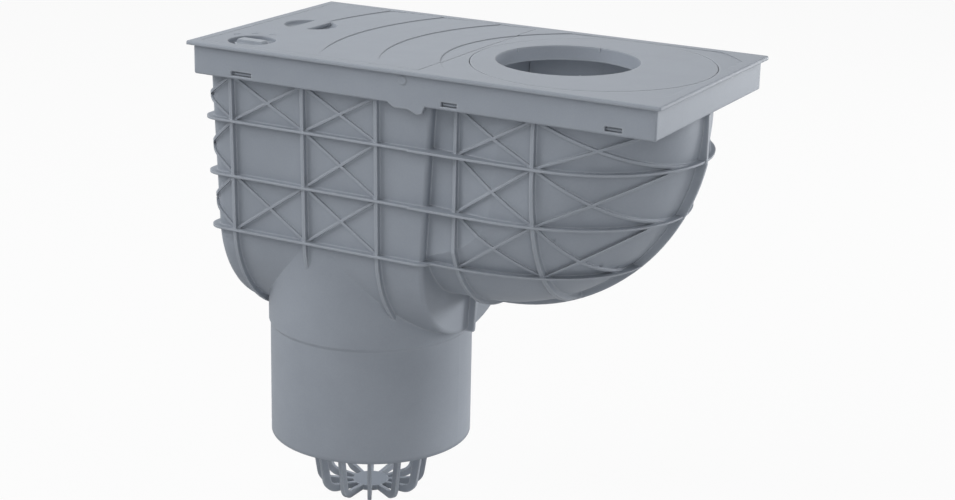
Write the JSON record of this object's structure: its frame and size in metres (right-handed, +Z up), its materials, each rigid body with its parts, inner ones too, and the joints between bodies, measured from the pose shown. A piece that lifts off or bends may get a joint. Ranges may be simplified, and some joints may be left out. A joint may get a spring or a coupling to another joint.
{
  "type": "rainwater gully",
  "caption": "Plastic rainwater gully with a turning downpipe inlet disc, lift-off access cover, odour flap, debris basket, ribbed bowl and a vertical outlet spigot.",
  "frame": {"origin": "centre of the outlet spigot's mouth", "axes": "+Z up along the spigot's axis, +X along the gully from the outlet to the inlet"},
  "size_m": [0.3, 0.155, 0.2908],
  "materials": {
    "grey_plastic": "satin"
  },
  "bodies": {
    "base": {"body": "grey_plastic", "top_frame": "grey_plastic", "flap_frame": "grey_plastic", "debris_basket": "grey_plastic"},
    "inlet": {"inlet_disc": "grey_plastic"},
    "cover": {"access_cover": "grey_plastic"},
    "lock": {"lock_knob": "grey_plastic", "lock_tongue": "grey_plastic"},
    "flap": {"odour_flap": "grey_plastic"}
  },
  "joints": [
    {"name": "inlet_turn", "type": "hinge", "parent": "base", "child": "inlet", "pos_m": [0.145, 0, 0.25], "axis": [0, 0, 1], "continuous": true},
    {"name": "cover_lift", "type": "slide", "parent": "base", "child": "cover", "axis": [0, 0, 1], "range_m": [0, 0.06]},
    {"name": "lock_turn", "type": "hinge", "parent": "cover", "child": "lock", "pos_m": [-0.0485, -0.0555, 0.25], "axis": [0, 0, 1], "range_deg": [0, 90]},
    {"name": "flap_swing", "type": "hinge", "parent": "base", "child": "flap", "pos_m": [0.06874, 0, 0.21962], "axis": [0, 1, 0], "range_deg": [0, 70]}
  ]
}
